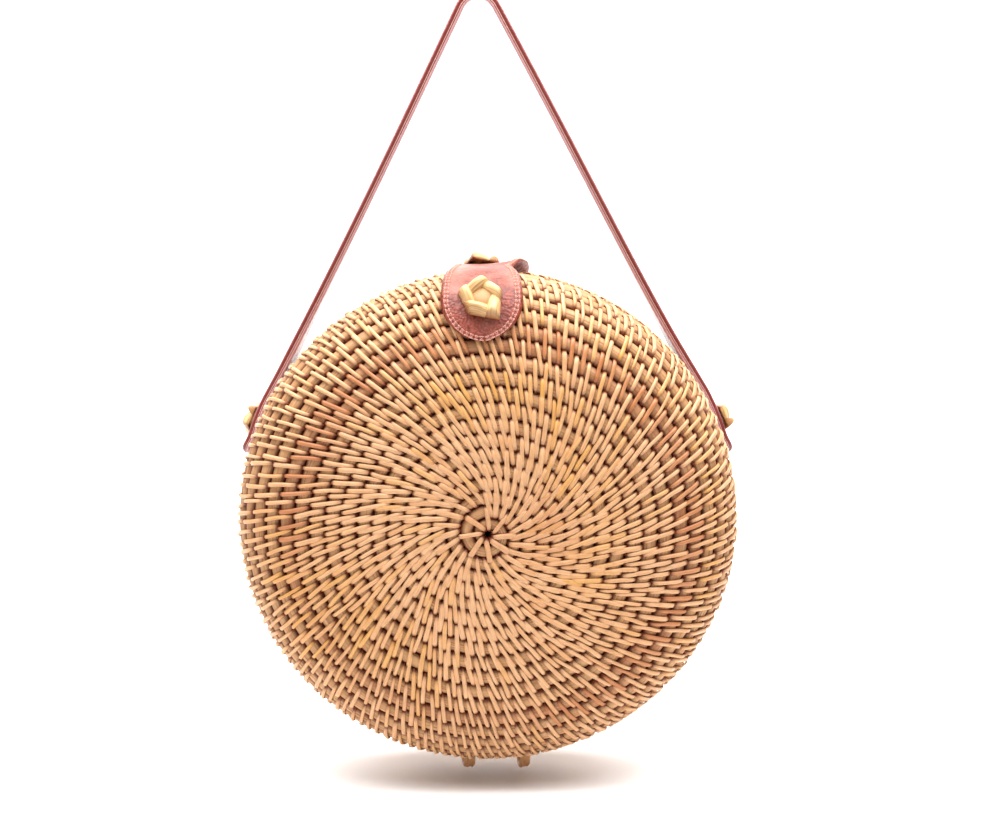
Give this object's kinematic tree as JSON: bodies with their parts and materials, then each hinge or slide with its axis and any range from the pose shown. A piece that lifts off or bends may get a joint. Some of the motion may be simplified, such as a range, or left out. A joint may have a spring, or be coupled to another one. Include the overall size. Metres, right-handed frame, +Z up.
{
  "type": "round rattan basket bag",
  "caption": "Round basket bag of two coiled rattan half shells hinged at the bottom, with a leather tab buttoned over the top and a leather shoulder strap.",
  "frame": {"origin": "the inside of the bend at the top of the shoulder strap, where a hook or a shoulder carries the bag", "axes": "+Z up along the hanging bag, the front face towards -Y, +X to the right as seen from the front"},
  "size_m": [0.2002, 0.078, 0.3129],
  "materials": {
    "coiled_rattan": "pale tan split rattan wound over a cane coil, satin",
    "rattan_knot": "folded straw coloured rattan strip, satin",
    "tab_leather": "reddish brown grained leather with pale pink stitching",
    "strap_leather": "reddish brown leather in two layers with a painted edge"
  },
  "bodies": {
    "back_half": {"back_shell": "coiled_rattan", "closure_tab": "tab_leather", "rear_knot": "rattan_knot", "shoulder_strap": "strap_leather", "left_strap_knot": "rattan_knot", "right_strap_knot": "rattan_knot", "left_hinge_loop": "coiled_rattan", "right_hinge_loop": "coiled_rattan"},
    "front_half": {"front_shell": "coiled_rattan", "front_knot": "rattan_knot"}
  },
  "joints": [
    {"name": "shell_hinge", "type": "hinge", "parent": "back_half", "child": "front_half", "pos_m": [0.0036, 0, -0.302], "axis": [1, 0, 0], "range_deg": [0, 100], "deforming": ["closure_tab"]}
  ]
}
